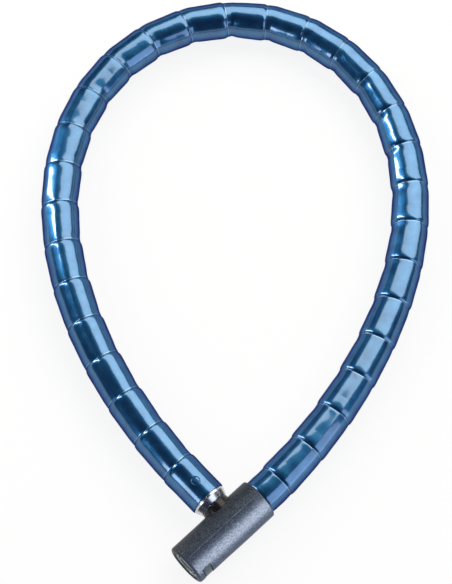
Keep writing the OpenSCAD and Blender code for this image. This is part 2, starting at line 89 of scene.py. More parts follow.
# %% Working on a mesh


def only(obj):
    """Selects one object and nothing else."""
    for other in bpy.context.view_layer.objects:
        other.select_set(False)
    obj.select_set(True)
    bpy.context.view_layer.objects.active = obj
    return obj


def in_edit(obj, chosen, action):
    """Selects the vertices that chosen() picks, and runs action in edit mode."""
    only(obj)
    bpy.ops.object.mode_set(mode="EDIT")
    bpy.ops.mesh.select_mode(type="VERT")
    bpy.ops.mesh.select_all(action="DESELECT")
    bpy.ops.object.mode_set(mode="OBJECT")
    for vertex in obj.data.vertices:
        vertex.select = bool(chosen(vertex))
    bpy.ops.object.mode_set(mode="EDIT")
    action()
    bpy.ops.object.mode_set(mode="OBJECT")
    return obj


def tidy(obj, angle=35):
    """Merges doubles, turns the faces outwards, and smooths all but the sharp edges."""
    only(obj)
    bpy.ops.object.mode_set(mode="EDIT")
    bpy.ops.mesh.select_all(action="SELECT")
    bpy.ops.mesh.remove_doubles(threshold=WELD)
    bpy.ops.mesh.normals_make_consistent(inside=False)
    bpy.ops.object.mode_set(mode="OBJECT")
    bpy.ops.object.shade_smooth_by_angle(angle=math.radians(angle))
    return obj


def put(obj, matrix=TO_LOCK):
    """Moves the mesh itself, so that the object stays at the origin."""
    obj.data.transform(obj.matrix_world)
    obj.matrix_world = Matrix.Identity(4)
    obj.data.transform(matrix)
    obj.data.update()
    return obj


def named(name):
    """Names the piece that was just added, and its mesh with it."""
    obj = bpy.context.object
    obj.name = obj.data.name = name
    return obj


print("helpers ready:", [f.__name__ for f in (only, in_edit, tidy, put, named)])

# %% [markdown]
# The camera looks down on the lock from the side of the key end, tilted by about 22 degrees.
# A long lens keeps the loop from spreading out towards the lens.

# %% Camera
LOOK_AT = Vector((-3.9, -10.7, 12.2)) * MM
TILT = math.radians(21.8)
ROLL = math.radians(-1.71)
DISTANCE = 1.029
LENS, SENSOR = 110.96, 36

right, ahead = Vector((1, 0, 0)), Vector((0, math.sin(TILT), -math.cos(TILT)))
up = right.cross(ahead)
turned = Matrix.Rotation(ROLL, 3, ahead)
camera = bpy.data.objects.new("camera", bpy.data.cameras.new("camera"))
bpy.context.scene.collection.objects.link(camera)
camera.data.sensor_width = SENSOR
camera.data.lens = LENS
camera.data.clip_start = 0.05
axes = Matrix((turned @ right, turned @ up, -ahead)).transposed()
camera.matrix_world = Matrix.Translation(LOOK_AT - ahead * DISTANCE) @ axes.to_4x4()
bpy.context.scene.camera = camera
print("camera at", [round(v, 3) for v in camera.matrix_world.translation])

# %% [markdown]
# Finishes are made of nodes. A short helper adds a node and fills its inputs, so that each
# material below reads as a list of what it is made of. Values that are the same all over are
# set on the shader's own sockets.

# %% Node helpers


def add(tree, kind, inputs=None, **settings):
    """Adds a node, sets its properties, and sets or links its inputs."""
    made = tree.nodes.new(kind)
    for key, value in settings.items():
        setattr(made, key, value)
    for key, value in (inputs or {}).items():
        if isinstance(value, bpy.types.NodeSocket):
            tree.links.new(value, made.inputs[key])
        else:
            made.inputs[key].default_value = value
    return made


def ramp(tree, fac, *stops):
    """A colour ramp; each stop is (position, grey or colour)."""
    made = add(tree, "ShaderNodeValToRGB", {"Fac": fac})
    elements = made.color_ramp.elements
    while len(elements) < len(stops):
        elements.new(0.5)
    for element, (position, value) in zip(elements, stops):
        element.position = position
        element.color = (value, value, value, 1) if isinstance(value, float) else (*value, 1)
    return made.outputs["Color"]


def math_node(tree, operation, a, b=0.0, c=0.0):
    """A Math node; MULTIPLY_ADD gives a * b + c."""
    return add(tree, "ShaderNodeMath", {0: a, 1: b, 2: c}, operation=operation).outputs[0]


def mix(tree, fac, a, b):
    """Mixes two colours: a where fac is 0, b where it is 1."""
    made = add(tree, "ShaderNodeMix", data_type="RGBA")
    for index, value in ((0, fac), (6, a), (7, b)):
        if isinstance(value, bpy.types.NodeSocket):
            tree.links.new(value, made.inputs[index])
        else:
            made.inputs[index].default_value = value if index == 0 else (*value, 1)
    return made.outputs[2]


print("node helpers ready:", [f.__name__ for f in (add, ramp, math_node, mix)])

# %% [markdown]
# Two effects are shared by several finishes, so each is a node group, built once and placed in
# every material that needs it. The first is the fine pebbled skin of a plastic moulding. It
# gives out a mask of the pebbles, a slower mottle and a normal.

# %% Moulded grain


def group(name, inputs, outputs):
    """A new shader node group; inputs and outputs are (name, socket type, value)."""
    tree = bpy.data.node_groups.new(name, "ShaderNodeTree")
    for label, kind, value in inputs:
        socket = tree.interface.new_socket(label, in_out="INPUT", socket_type=kind)
        socket.default_value = value
    for label, kind in outputs:
        tree.interface.new_socket(label, in_out="OUTPUT", socket_type=kind)
    start, end = tree.nodes.new("NodeGroupInput"), tree.nodes.new("NodeGroupOutput")
    return tree, start.outputs, end.inputs


grain, g_in, g_out = group(
    "moulded_grain",
    [("Size", "NodeSocketFloat", 0.35), ("Depth", "NodeSocketFloat", 0.03)],
    [("Mask", "NodeSocketFloat"), ("Mottle", "NodeSocketFloat"), ("Normal", "NodeSocketVector")])
coords = add(grain, "ShaderNodeTexCoord").outputs["Object"]
cells = math_node(grain, "DIVIDE", 1000.0, g_in["Size"])
pebble = add(grain, "ShaderNodeTexNoise",
             {"Vector": coords, "Scale": cells, "Detail": 3.0, "Roughness": 0.6}).outputs[0]
cloud = add(grain, "ShaderNodeTexNoise",
            {"Vector": coords, "Scale": 160.0, "Detail": 3.0}).outputs[0]
grain.links.new(pebble, g_out["Mask"])
grain.links.new(cloud, g_out["Mottle"])
deep = math_node(grain, "MULTIPLY", g_in["Depth"], MM)
grain.links.new(add(grain, "ShaderNodeBump", {"Height": pebble, "Distance": deep,
                                              "Strength": 1.0}).outputs[0], g_out["Normal"])
print("grain made of", len(grain.nodes), "nodes")

# %% [markdown]
# The second is the faint mottling, the hairline scratches and the slight change of gloss that
# any handled metal has. It gives out a mask, a roughness and a normal.

# %% Metal wear
wear, w_in, w_out = group(
    "metal_wear",
    [("Gloss", "NodeSocketFloat", 0.25), ("Amount", "NodeSocketFloat", 0.5)],
    [("Mask", "NodeSocketFloat"), ("Roughness", "NodeSocketFloat"),
     ("Normal", "NodeSocketVector")])
coords = add(wear, "ShaderNodeTexCoord").outputs["Object"]
patches = add(wear, "ShaderNodeTexNoise",
              {"Vector": coords, "Scale": 220.0, "Detail": 5.0}).outputs[0]
drawn = add(wear, "ShaderNodeMapping", {"Vector": coords, "Scale": (400.0, 6000.0, 6000.0)})
hairs = add(wear, "ShaderNodeTexNoise",
            {"Vector": drawn.outputs[0], "Scale": 1.0, "Detail": 2.0}).outputs[0]
scratch = ramp(wear, hairs, (0.62, 0.0), (0.7, 1.0))
wear.links.new(patches, w_out["Mask"])
spread = math_node(wear, "MULTIPLY_ADD", patches, 0.25, -0.1)
rough = math_node(wear, "MULTIPLY_ADD", spread, w_in["Amount"], w_in["Gloss"])
rough = math_node(wear, "MULTIPLY_ADD", scratch, 0.06, rough)
wear.links.new(rough, w_out["Roughness"])
wear.links.new(add(wear, "ShaderNodeBump", {"Height": hairs, "Distance": 0.000004,
                                            "Strength": 0.5}).outputs[0], w_out["Normal"])
print("shared effects:", [tree.name for tree in bpy.data.node_groups])

# %% [markdown]
# The metals differ only in colour and gloss: satin steel, soft chrome, brass, spring wire, the
# duller zinc of a casting, and the darker steel of the key end.

# %% Metals


def material(name):
    """A material with a Principled BSDF, its node tree and its shader."""
    made = bpy.data.materials.new(name)
    made.use_nodes = True
    return made, made.node_tree, made.node_tree.nodes["Principled BSDF"]


def metal(name, light, dark, gloss, amount=0.5, metallic=1.0):
    """A handled metal that drifts between two colours; amount is how much its gloss drifts."""
    made, tree, shader = material(name)
    worn = add(tree, "ShaderNodeGroup", node_tree=wear)
    worn.inputs["Gloss"].default_value = gloss
    worn.inputs["Amount"].default_value = amount
    mask = worn.outputs["Mask"]
    tree.links.new(ramp(tree, mask, (0.3, dark), (0.7, light)), shader.inputs["Base Color"])
    tree.links.new(worn.outputs["Roughness"], shader.inputs["Roughness"])
    tree.links.new(worn.outputs["Normal"], shader.inputs["Normal"])
    shader.inputs["Metallic"].default_value = metallic
    return made


steel = metal("drawn_steel", (0.62, 0.63, 0.65), (0.42, 0.43, 0.45), 0.3)
chrome = metal("ferrule_chrome", (0.64, 0.67, 0.72), (0.5, 0.53, 0.58), 0.24, 0.3)
brass = metal("cylinder_brass", (0.72, 0.52, 0.24), (0.5, 0.34, 0.14), 0.32)
spring_wire = metal("spring_wire", (0.7, 0.7, 0.72), (0.5, 0.5, 0.52), 0.25)
zinc = metal("zinc_casting", (0.46, 0.48, 0.47), (0.3, 0.32, 0.32), 0.38, 0.8)
face_steel = metal("face_steel", (0.42, 0.48, 0.5), (0.2, 0.25, 0.27), 0.22, 1.0, metallic=0.9)
plug_dark = metal("plug_dark", (0.1, 0.12, 0.13), (0.03, 0.04, 0.045), 0.2, 1.0, metallic=0.9)
metals = (steel, chrome, brass, spring_wire, zinc, face_steel, plug_dark)
print("metals:", [made.name for made in metals])

# %% [markdown]
# The head's plastic is black with a fine matt grain. Under a soft light from one side such a
# grain scatters a wide, slightly violet sheen, with a speckled edge where the sheen ends. The
# brightest pebbles get more coat, and a Layer Weight takes the coat away towards the outline,
# because rough skins don't turn into mirrors there as smooth ones do.

# %% Plastics and rubber


def gloss_left(tree, start, end, least):
    """How much gloss a rough skin keeps where it turns away: full at start, least at end."""
    turned = add(tree, "ShaderNodeLayerWeight", {"Blend": 0.5}).outputs["Facing"]
    return ramp(tree, turned, (start, 1.0), (end, least))


def plastic(name, light, dark, gloss, grain_size, grain_depth, shine=0.45, coat=(0.0, 0.0),
            coat_gloss=0.05):
    """A moulding; coat is the coat over it all and the extra on its brightest pebbles."""
    made, tree, shader = material(name)
    skin = add(tree, "ShaderNodeGroup", node_tree=grain)
    skin.inputs["Size"].default_value = grain_size
    skin.inputs["Depth"].default_value = grain_depth
    colour = ramp(tree, skin.outputs["Mottle"], (0.3, dark), (0.7, light))
    speckle = ramp(tree, skin.outputs["Mask"], (0.44, 0.0), (0.6, 1.0))
    colour = mix(tree, math_node(tree, "MULTIPLY", speckle, 0.9), dark, colour)
    tree.links.new(colour, shader.inputs["Base Color"])
    gloss_map = math_node(tree, "MULTIPLY_ADD", speckle, 0.2, gloss - 0.1)
    tree.links.new(gloss_map, shader.inputs["Roughness"])
    tree.links.new(skin.outputs["Normal"], shader.inputs["Normal"])
    shader.inputs["Specular IOR Level"].default_value = shine
    level = math_node(tree, "MULTIPLY_ADD", speckle, coat[1], coat[0])
    tree.links.new(math_node(tree, "MULTIPLY", level, gloss_left(tree, 0.4, 0.8, 0.12)),
                   shader.inputs["Coat Weight"])
    shader.inputs["Coat Roughness"].default_value = coat_gloss
    return made


cover_black = plastic("cover_black", (0.012, 0.019, 0.03), (0.004, 0.008, 0.014), 0.42, 0.8, 0.04,
                      shine=0.12, coat=(0.28, 0.58), coat_gloss=0.45)
catch_grey = plastic("catch_grey", (0.085, 0.12, 0.15), (0.07, 0.1, 0.13), 0.4, 0.25, 0.004)
gloss_black = plastic("gloss_black", (0.01, 0.01, 0.01), (0.005, 0.005, 0.005), 0.3, 0.6,
                      0.002, shine=0.25, coat=(0.1, 0.0))
rubber_black = plastic("rubber_black", (0.015, 0.015, 0.015), (0.008, 0.008, 0.008), 0.5, 0.3,
                       0.01)
plastics = (cover_black, catch_grey, gloss_black, rubber_black)
print("plastics and rubber:", [made.name for made in plastics])

# %% [markdown]
# The sleeve is a soft clear blue tube, drawn so tightly over the shells that it looks like
# lacquered metal: a broad satin glow from the steel below and a crisp gloss on top. Its mesh
# carries an attribute, *along*, the metres from the ball joint that it covers, so that the
# marks at each joint follow the cable wherever it bends.

# %% The blue sleeve's finish
sleeve_blue, tree, shader = material("sleeve_blue")
along = add(tree, "ShaderNodeAttribute", attribute_name="along").outputs["Fac"]
coords = add(tree, "ShaderNodeTexCoord").outputs["Object"]
mottle = add(tree, "ShaderNodeTexNoise",
             {"Vector": coords, "Scale": 130.0, "Detail": 4.0, "Roughness": 0.6}).outputs[0]
speck = add(tree, "ShaderNodeTexNoise",
            {"Vector": coords, "Scale": 900.0, "Detail": 2.0}).outputs[0]
blue = ramp(tree, mottle, (0.3, (0.013, 0.087, 0.22)), (0.7, (0.028, 0.143, 0.31)))
# a dark line where the mouth's rim shows through, and beside it a paler line on the nose, which is
# a painted highlight; the 10 mm around the joint are spread over the ramp from 0 to 1
place = math_node(tree, "MULTIPLY_ADD", along, 100.0, 0.5)
line = ramp(tree, place, (0.0, 0.0), (0.845, 0.0), (0.858, 1.0), (0.878, 1.0), (0.892, 0.0))
nose_highlight = ramp(tree, place, (0.0, 0.0), (0.79, 0.0), (0.815, 1.0), (0.83, 1.0), (0.845, 0.0))
# painted highlight: the blue turns towards pale blue in a thin line on the nose
blue = mix(tree, math_node(tree, "MULTIPLY", nose_highlight, 0.4), blue, (0.3, 0.5, 0.75))
blue = mix(tree, math_node(tree, "MULTIPLY", line, 0.65), blue, (0.004, 0.01, 0.05))
tree.links.new(blue, shader.inputs["Base Color"])
satin = math_node(tree, "MULTIPLY_ADD", mottle, 0.1, 0.23)
tree.links.new(math_node(tree, "MULTIPLY_ADD", speck, 0.06, satin), shader.inputs["Roughness"])
tree.links.new(add(tree, "ShaderNodeBump", {"Height": mottle, "Distance": 0.00003,
                                            "Strength": 0.4}).outputs[0], shader.inputs["Normal"])
shader.inputs["Metallic"].default_value = 0.95
shader.inputs["Specular Tint"].default_value = (0.02, 0.05, 0.25, 1)
tree.links.new(math_node(tree, "MULTIPLY", gloss_left(tree, 0.3, 0.7, 0.08), 0.25),
               shader.inputs["Coat Weight"])
shader.inputs["Coat IOR"].default_value = 3.0
shader.inputs["Coat Roughness"].default_value = 0.08
print("sleeve finish made of", len(tree.nodes), "nodes")

# %% [markdown]
# The loop is a chain of thirty ball joints, 25 mm apart. It leaves the head along its length
# and comes back square to it, a turn of 270 degrees. Most of that is at the far end, so the
# bend of each joint is an even part, a part gathered at the far end, and a lean to one side.
# Walking from joint to joint gives the route of the cable. Amount and lean are solved in the
# CAD source, so that the last joint lands right in front of the bolt's port.

# %% Route of the cable
JOINTS = 30
PITCH = 25 * MM
GATHER, AMOUNT, LEAN = 3.1, 10.9348, -0.419435
WHOLE_TURN = 270
FIRST_JOINT, LAST_JOINT = 30.5 * MM, 47 * MM


def way(degrees):
    """A step of one metre in this direction on the floor."""
    a = math.radians(degrees)
    return Vector((math.cos(a), math.sin(a), 0))


shares = [(i + 0.5) / JOINTS for i in range(JOINTS)]
gathered = [math.sin(math.pi * s) ** GATHER for s in shares]
even = (WHOLE_TURN - AMOUNT * sum(gathered)) / JOINTS
bends = [even + AMOUNT * g + LEAN * math.sin(math.tau * s) for g, s in zip(gathered, shares)]
headings = [HEAD_TURN + sum(bends[:i]) for i in range(JOINTS + 1)]
pivots = [CROSSING + FIRST_JOINT * way(HEAD_TURN)]
for i in range(1, JOINTS):
    pivots.append(pivots[-1] + PITCH * way(headings[i]))

members = frame["record"]["behaviour"]["bodies"]
body_of = {node: body for body, nodes in members.items() for node in nodes}
links = ["lock_head"] + [body_of["shell_%02d" % k] for k in range(1, JOINTS)] + ["free_end"]
linked = {frozenset((j["parent"], j["child"])) for j in frame["record"]["behaviour"]["joints"]}
miss = (pivots[-1] - CROSSING - LAST_JOINT * way(HEAD_TURN + 90)).length / MM
print("last joint is", round(miss, 3), "mm off, tightest bend", round(max(bends), 1), "degrees")

# %% [markdown]
# Each joint gets its own stretch of sleeve, from the middle of one shell to the middle of the
# next. Its shape is a row of rings, each a pair of (distance from the joint, radius) in
# millimetres: it dips over the ball nose and swells again over the next mouth. The first and
# the last stretch have other lengths, and the one at the top of the loop is slimmer.

# %% Shape of the sleeve
HALF = 12.5  # half of the joints' pitch
RINGS = [(-HALF, 10.9), (-9, 10.85), (-6.5, 10.8), (-4.5, 10.74), (-3, 10.68), (-1.5, 10.62),
         (0, 10.57), (1.2, 10.55), (2.2, 10.54), (2.9, 10.52), (3.3, 10.48), (3.6, 10.47),
         (3.9, 10.57), (4.3, 10.77), (4.8, 10.94), (5.6, 11.04), (6.8, 11.08), (8.5, 11.05),
         (HALF, 10.9)]
OVER_MOUTH = RINGS[12:]
# the joint at the top of the loop is drawn in a little more, where it sets the loop's length
TOP_RINGS = [(-HALF, 10.9), (-9, 10.8), (-6.5, 10.65), (-4.5, 10.49), (-3, 10.31), (-1.5, 10.18),
             (0, 10.13), (1.2, 10.18), (2.2, 10.26), (2.9, 10.3), (3.3, 10.34), (3.6, 10.38)
             ] + OVER_MOUTH
END_RINGS = RINGS[:-1] + [(11, 10.92), (13.5, 10.86), (18, 10.86), (23, 10.86), (26, 10.86),
                          (27.6, 10.86), (28.1, 10.72)]
START_RINGS = [(-9.55, 10.46), (-9.3, 10.54), (-8, 10.56), (-6.5, 10.6), (-4.5, 10.64),
               (-3, 10.62), (-1.5, 10.6)] + RINGS[6:]
PROFILES = {"start": START_RINGS, "middle": RINGS, "top": TOP_RINGS, "end": END_RINGS}
print("rings:", {kind: len(rings) for kind, rings in PROFILES.items()})

# %% [markdown]
# A straight stretch of each kind is modelled once: an open cylinder, cut into rings by
# bisecting, each ring scaled to its radius. It remembers in an attribute how far along each
# vertex is, for its finish.

# %% A straight stretch of sleeve
SIDES = 48


def at_station(station):
    """Picks the vertices of the ring at this station."""
    return lambda v: abs(v.co.x - station * MM) < NEAR


def straight(name, rings):
    """An open tube along x whose rings sit at these stations with these radii, in mm."""
    first, last = rings[0][0], rings[-1][0]
    bpy.ops.object.select_all(action="DESELECT")
    bpy.ops.mesh.primitive_cylinder_add(
        vertices=SIDES, radius=rings[0][1] * MM, depth=(last - first) * MM,
        end_fill_type="NOTHING", location=((first + last) / 2 * MM, 0, 0),
        rotation=(0, math.pi / 2, 0))
    obj = put(named(name), Matrix.Identity(4))
    only(obj)
    bpy.ops.object.mode_set(mode="EDIT")
    for station, _ in rings[1:-1]:
        bpy.ops.mesh.select_all(action="SELECT")
        bpy.ops.mesh.bisect(plane_co=(station * MM, 0, 0), plane_no=(1, 0, 0))
    bpy.ops.object.mode_set(mode="OBJECT")
    for station, radius in rings[1:]:
        size = radius / rings[0][1]
        in_edit(obj, at_station(station),
                lambda size=size: bpy.ops.transform.resize(
                    value=(1, size, size), center_override=(0, 0, 0)))
    mark = obj.data.attributes.new("along", "FLOAT", "POINT")
    mark.data.foreach_set("value", [v.co.x for v in obj.data.vertices])
    return obj


KINDS = {1: "start", 16: "top", JOINTS: "end"}
tubes = {kind: straight("tube_" + kind, rings) for kind, rings in PROFILES.items()}
print("stretches:", sorted(tubes), "with", SIDES, "sides")

# %% [markdown]
# Every joint gets a copy, bent by turning its rings about the ball's centre, more and more
# from the first station of the bend to the last. What lies beyond turns by the whole bend.

# %% Bending a stretch
BEND_FROM, BEND_TO = -4.5, 3.2


def share_turned(station, start=BEND_FROM, end=BEND_TO):
    """How much of a joint's bend a ring at this station has taken, from 0 to 1."""
    t = min(max((station - start) / (end - start), 0), 1)
    return t * t * (3 - 2 * t)


def bent(obj, rings, bend):
    """Turns each ring past the joint about the ball's centre."""
    for station, _ in rings:
        turn = share_turned(station)
        if 0 < turn < 1:
            in_edit(obj, at_station(station),
                    lambda turn=turn: bpy.ops.transform.rotate(
                        value=-math.radians(bend) * turn, orient_axis="Z",
                        center_override=(0, 0, 0)))
    marks = [d.value for d in obj.data.attributes["along"].data]
    beyond = [m >= BEND_TO * MM - NEAR for m in marks]
    in_edit(obj, lambda v: beyond[v.index],
            lambda: bpy.ops.transform.rotate(value=-math.radians(bend), orient_axis="Z",
                                             center_override=(0, 0, 0)))
    return obj


def at_joint(k):
    """Where joint k (from 1) sits, turned to the shell before it."""
    spin = Matrix.Rotation(math.radians(headings[k - 1]), 4, "Z")
    return Matrix.Translation(pivots[k - 1]) @ spin


by_station = {station: round(share_turned(station), 2) for station, _ in RINGS}
print("share of the bend:", by_station)

# %% [markdown]
# Where both sides of a joint belong to one body, its stretch is attached to that body; elsewhere
# the stretch keeps its place in its mesh. The closed loop is cut at one joint, where the two chains
# of bodies meet end to end. There the stretch is bisected, and each half rides on its own chain.

# %% Carrying a stretch


def copy_of(obj, name):
    """A copy with a mesh of its own."""
    made = obj.copy()
    made.data = obj.data.copy()
    made.name = made.data.name = name
    bpy.context.scene.collection.objects.link(made)
    return made


def carry(obj, k, start=BEND_FROM, end=BEND_TO):
    """Attaches a piece at joint k to its body when both sides of the joint are one body; otherwise
    bakes its place into its mesh.
    """
    a, b = links[k - 1], links[k]
    if a == b:
        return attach(obj, a)
    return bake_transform(obj)


def halves(obj, k):
    """Splits a piece at joint k, where the closed loop is cut into two chains of bodies."""
    here, along_cut = pivots[k - 1], way((headings[k - 1] + headings[k]) / 2)
    pair = [obj, copy_of(obj, obj.name + "_far")]
    for part, body, keep in ((pair[0], links[k - 1], -1), (pair[1], links[k], 1)):
        in_edit(part, lambda v: True, lambda keep=keep: bpy.ops.mesh.bisect(
            plane_co=here, plane_no=along_cut, use_fill="rope" in part.name,
            clear_inner=keep > 0, clear_outer=keep < 0))
        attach(part, body)
    return pair


def crosses(k):
    """Whether joint k can carry a whole stretch: true at all joints but the cut one."""
    return links[k - 1] == links[k] or frozenset((links[k - 1], links[k])) in linked


print("the loop is cut at joint", [k for k in range(1, JOINTS + 1) if not crosses(k)])

# %% [markdown]
# Some things are easier with a modifier than by hand, such as giving a skin its wall or
# cutting one solid with another. A modifier is added, set and applied at once, so that what is
# left is plain mesh.

# %% Modifiers and cutting


def modify(obj, kind, **settings):
    """Adds one modifier with these settings and applies it."""
    only(obj)
    modifier = obj.modifiers.new(kind.title(), kind)
    for key, value in settings.items():
        setattr(modifier, key, value)
    bpy.ops.object.modifier_apply(modifier=modifier.name)
    return obj


def remove(obj):
    """Deletes a helper object once it has done its work."""
    bpy.data.objects.remove(obj, do_unlink=True)


def cutter(name, kind, **place):
    """A primitive to cut with, its place already in its mesh."""
    bpy.ops.object.select_all(action="DESELECT")
    getattr(bpy.ops.mesh, "primitive_%s_add" % kind)(**place)
    return put(named(name), Matrix.Identity(4))


def cut(obj, tool, operation="DIFFERENCE"):
    """Cuts obj with a tool by a Boolean modifier, then throws the tool away."""
    modify(obj, "BOOLEAN", object=tool, operation=operation, solver="EXACT")
    remove(tool)
    return obj


print("helpers ready:", [f.__name__ for f in (modify, remove, cutter, cut)])

# %% [markdown]
# Now the sleeve itself. A Solidify modifier gives each stretch its wall, inwards, and the last
# one gets the round dimple that the pin across the end tube leaves.

# %% The blue sleeve
SLEEVE_WALL = 0.65
DIMPLE_R, DIMPLE_GROOVE = 2.3, 0.36
DIMPLE_AT = TO_LOCK @ (Vector((0, 28.9, 10.7)) * MM)

sleeves = []
for k in range(1, JOINTS + 1):
    kind = KINDS.get(k, "middle")
    piece = bent(copy_of(tubes[kind], "sleeve_%02d" % k), PROFILES[kind], bends[k - 1])
    put(piece, at_joint(k))
    piece.data.materials.append(sleeve_blue)
    parts = [piece] if crosses(k) else halves(piece, k)
    for part in parts:
        modify(part, "SOLIDIFY", thickness=SLEEVE_WALL * MM, offset=-1)
        if k == JOINTS:
            cut(part, cutter("dimple_cut", "torus", location=DIMPLE_AT,
                             major_radius=DIMPLE_R * MM, minor_radius=DIMPLE_GROOVE * MM))
        only(part)
        bpy.ops.object.shade_smooth_by_angle(angle=math.radians(50))
    if len(parts) == 1:
        carry(piece, k)
    sleeves += parts
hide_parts("pvc_sleeve")
for obj in tubes.values():
    remove(obj)
print("sleeve pieces:", len(sleeves), "vertices each:", len(sleeves[1].data.vertices))

# %% [markdown]
# Inside runs the wire rope: six strands laid around a core, one full turn every 50 mm. Each
# strand is a small ring swept by a Screw modifier. A 25 mm stretch holds half a turn, which
# brings every strand to the place of another, so that each stretch meets the next.

# %% A straight stretch of rope
ROPE_R, STRAND_R, LAY = 3.95, 1.3, 50.0
CORE_R = ROPE_R - 2 * STRAND_R + 0.1
STRANDS, ROPE_STEPS = 6, 12
WIRE_SIDES = 8


def rope_stretch(name, first, last):
    """Six strands and a core along x, from station first to station last, in mm."""
    strands = []
    for i in range(STRANDS + 1):
        is_core = i == STRANDS
        turn = math.tau * (i / STRANDS + first / LAY)
        off = 0 if is_core else ROPE_R - STRAND_R
        bpy.ops.object.select_all(action="DESELECT")
        bpy.ops.mesh.primitive_circle_add(
            vertices=WIRE_SIDES, radius=(CORE_R if is_core else STRAND_R) * MM,
            fill_type="NOTHING", rotation=(0, math.pi / 2, 0),
            location=(first * MM, off * math.cos(turn) * MM, off * math.sin(turn) * MM))
        obj = put(named("%s_%d" % (name, i)), Matrix.Identity(4))
        modify(obj, "SCREW", axis="X", angle=math.tau * (last - first) / LAY,
               screw_offset=(last - first) * MM, steps=ROPE_STEPS, render_steps=ROPE_STEPS)
        in_edit(obj, lambda v: True, bpy.ops.mesh.fill_holes)
        strands.append(obj)
    for obj in strands:
        obj.select_set(True)
    bpy.context.view_layer.objects.active = strands[0]
    bpy.ops.object.join()
    strands[0].name = strands[0].data.name = name
    return tidy(strands[0], 60)


ROPE_SPANS = {"start": (-21.9, HALF), "middle": (-HALF, HALF), "end": (-HALF, 15.3)}
ropes = {kind: rope_stretch("rope_" + kind, *span) for kind, span in ROPE_SPANS.items()}
print("rope stretch faces:", len(ropes["middle"].data.polygons))

# %% [markdown]
# The rope bends later than the sleeve, inside the hollow of the next shell, and in a softer
# curve. It has many more rings than the sleeve, so its vertices are turned one by one.

# %% The wire rope
ROPE_BEND = (1.0, 8.0)
rope_pieces = []
for k in range(1, JOINTS + 1):
    kind = "start" if k == 1 else "end" if k == JOINTS else "middle"
    obj = copy_of(ropes[kind], "rope_%02d" % k)
    for v in obj.data.vertices:
        turn = math.radians(bends[k - 1]) * share_turned(v.co.x / MM, *ROPE_BEND)
        v.co.rotate(Matrix.Rotation(turn, 3, "Z"))
    put(obj, at_joint(k))
    obj.data.materials.append(spring_wire)
    parts = [obj] if crosses(k) else halves(obj, k)
    if len(parts) == 1:
        carry(obj, k, *ROPE_BEND)
    rope_pieces += parts
for obj in ropes.values():
    remove(obj)
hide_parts("wire_rope")
print("rope pieces:", len(rope_pieces))

# %% [markdown]
# Most of the head is turned work, so one helper acts as the lathe. It draws a profile by
# extruding a single point from station to station, then spins it once around the axis. The
# profile is a list of (distance along the axis, radius) in millimetres, and fillet() adds the
# points of a rounded corner. After a spin the seam is merged and the faces are turned outwards.

# %% The lathe
LATHE_STEPS = 96


def fillet(along, radius, size, first, last, steps):
    """Points of a round: its centre, size, first and last angle in degrees, and steps."""
    points = []
    for i in range(steps + 1):
        a = math.radians(first + (last - first) * i / steps)
        points.append((along + size * math.cos(a), radius + size * math.sin(a)))
    return points


def lathe(name, profile, axis="X", closed=True):
    """Spins a profile of (along, radius) around the x or the y axis."""
    spin_axis = Vector((1, 0, 0)) if axis == "X" else Vector((0, 1, 0))

    def point(p):
        along, radius = p
        return Vector((along, 0, radius) if axis == "X" else (0, along, radius)) * MM

    points = [point(p) for p in profile] + ([point(profile[0])] if closed else [])
    bpy.ops.object.select_all(action="DESELECT")
    bpy.ops.mesh.primitive_plane_add(size=MM, location=(0, 0, 0))
    obj = named(name)
    bpy.ops.object.mode_set(mode="EDIT")
    bpy.ops.mesh.merge(type="CENTER")
    bpy.ops.transform.translate(value=points[0])
    for a, b in zip(points, points[1:]):
        bpy.ops.mesh.extrude_region_move(TRANSFORM_OT_translate={"value": b - a})
    bpy.ops.mesh.select_all(action="SELECT")
    bpy.ops.mesh.spin(steps=LATHE_STEPS, angle=math.tau, center=(0, 0, 0), axis=spin_axis)
    bpy.ops.object.mode_set(mode="OBJECT")
    return tidy(obj)


print("lathe ready, steps per turn:", LATHE_STEPS)

# %% [markdown]
# The head's cover is a moulded tube. On the lathe it gets its wall, its rounded ends, the black
# lip around the key face and a slight taper to where a bracket's clamp sits. Then come the
# things no lathe can make: a fine line along the top where the two halves of the mould met,
# the port for the bolt and the window of the catch. The line is a row of edges, bevelled into
# a narrow strip whose middle is pressed inwards.

# %% The cover of the lock head
R, GRIP, EDGE = 12.2, 12.0, 0.9
KEY_END, ROPE_END = -34.5, 20.5
cover_profile = (
    [(-32.4, 10.1), (-32.45, 9.35), (-34.0, 9.3), (-34.35, 9.6)]
    + fillet(KEY_END + 1.5, GRIP - 1.5, 1.5, 180, 90, 7)
    + [(-17, GRIP), (-13, 12.03), (-8, 12.1), (-3, 12.17), (0, R)]
    + fillet(ROPE_END - EDGE, R - EDGE, EDGE, 90, 0, 6)
    + [(20.45, 9.75), (20.25, 9.57), (19.1, 9.57), (19.1, 10.7), (-32.4, 10.7)])
cover = lathe("cover_shell", cover_profile)

LINE_HALF, LINE_DEPTH = 0.2, 0.2
PORT_R = 8.55
WINDOW_X, WINDOW_Y, WINDOW_HALF = -27.75, -11.5, 7.9
CATCH_LEN, PLAY_X, PLAY_Z = 5.5, 0.15, 0.45


def on_top_line(v):
    """Picks the vertices along the top of the cover's outer wall."""
    return abs(v.co.y) < NEAR and v.co.z > 11.2 * MM


